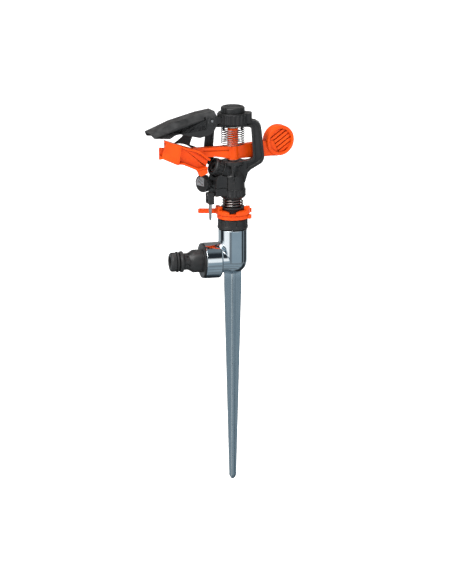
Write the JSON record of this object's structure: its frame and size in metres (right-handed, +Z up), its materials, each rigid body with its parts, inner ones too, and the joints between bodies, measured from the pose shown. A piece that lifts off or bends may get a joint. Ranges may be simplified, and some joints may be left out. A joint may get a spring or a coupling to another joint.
{
  "type": "pulse sprinkler on a ground spike",
  "caption": "Black and orange pulse sprinkler head with impact arm, deflector hood and sector stops on a die-cast elbow with ground spike and hose nipple.",
  "frame": {"origin": "on the spike's axis, where the spike leaves the underside of the elbow", "axes": "+Z up along the spike towards the head; the hose nipple points along -X; the head's jet runs along -X turned 13 degrees towards -Y and rises 24 degrees"},
  "size_m": [0.1315, 0.0557, 0.3151],
  "materials": {
    "cast_zinc": "satin chromed die casting",
    "black_plastic": "fine-grained moulded",
    "orange_plastic": "satin moulded",
    "grey_plastic": "satin",
    "pale_plastic": "satin",
    "steel": "drawn stainless wire",
    "rubber": "matt"
  },
  "bodies": {
    "base": {"spike_elbow": "cast_zinc", "hose_nipple": "black_plastic", "nipple_o_ring": "rubber", "inlet_gasket": "rubber", "nut_gasket": "rubber", "bearing_nut": "black_plastic"},
    "lower_ring": {"lower_stop_ring": "orange_plastic"},
    "upper_ring": {"upper_stop_ring": "orange_plastic"},
    "head": {"sprinkler_body": "black_plastic", "bearing_stem": "black_plastic", "thrust_washer": "pale_plastic", "spring_seat": "black_plastic", "bearing_spring": "steel", "nozzle_insert": "black_plastic", "nozzle_cap": "black_plastic", "top_cap": "black_plastic", "cap_plug": "black_plastic", "fulcrum_pin": "steel", "arm_spring": "steel", "trip_housing": "black_plastic", "trip_cover": "black_plastic"},
    "arm": {"impact_arm": "orange_plastic", "arm_bush_lower": "pale_plastic", "arm_bush_upper": "pale_plastic"},
    "hood": {"deflector_hood": "black_plastic", "hood_pin": "steel"},
    "trip": {"trip_lever": "black_plastic", "striker_wire": "steel", "trip_pivot": "steel", "reversing_pawl": "pale_plastic", "trip_spring": "steel"},
    "dial": {"range_dial": "black_plastic", "dial_panel": "grey_plastic"}
  },
  "joints": [
    {"name": "head_spin", "type": "hinge", "parent": "base", "child": "head", "pos_m": [0, 0, 0.0712], "axis": [0, 0, 1], "range_deg": [-10, 220]},
    {"name": "arm_swing", "type": "hinge", "parent": "head", "child": "arm", "pos_m": [0, 0, 0.111], "axis": [0, 0, 1], "range_deg": [0, 90], "stiffness_Nm_per_rad": 0.004, "springref_deg": -17.19},
    {"name": "hood_tilt", "type": "hinge", "parent": "head", "child": "hood", "pos_m": [-0.02241, -0.00517, 0.1395], "axis": [-0.225, 0.9744, 0], "range_deg": [0, 30]},
    {"name": "dial_turn", "type": "hinge", "parent": "head", "child": "dial", "pos_m": [-0.02505, -0.00086, 0.0849], "axis": [-0.8572, -0.515, 0], "range_deg": [-60, 60]},
    {"name": "trip_flip", "type": "hinge", "parent": "head", "child": "trip", "pos_m": [-0.02043, -0.00574, 0.0762], "axis": [0.9744, 0.225, 0], "range_deg": [-8, 8]},
    {"name": "upper_ring_turn", "type": "hinge", "parent": "base", "child": "upper_ring", "pos_m": [0, 0, 0.0584], "axis": [0, 0, 1], "range_deg": [-70, 0]},
    {"name": "lower_ring_turn", "type": "hinge", "parent": "base", "child": "lower_ring", "pos_m": [0, 0, 0.0547], "axis": [0, 0, 1], "range_deg": [0, 70]}
  ]
}
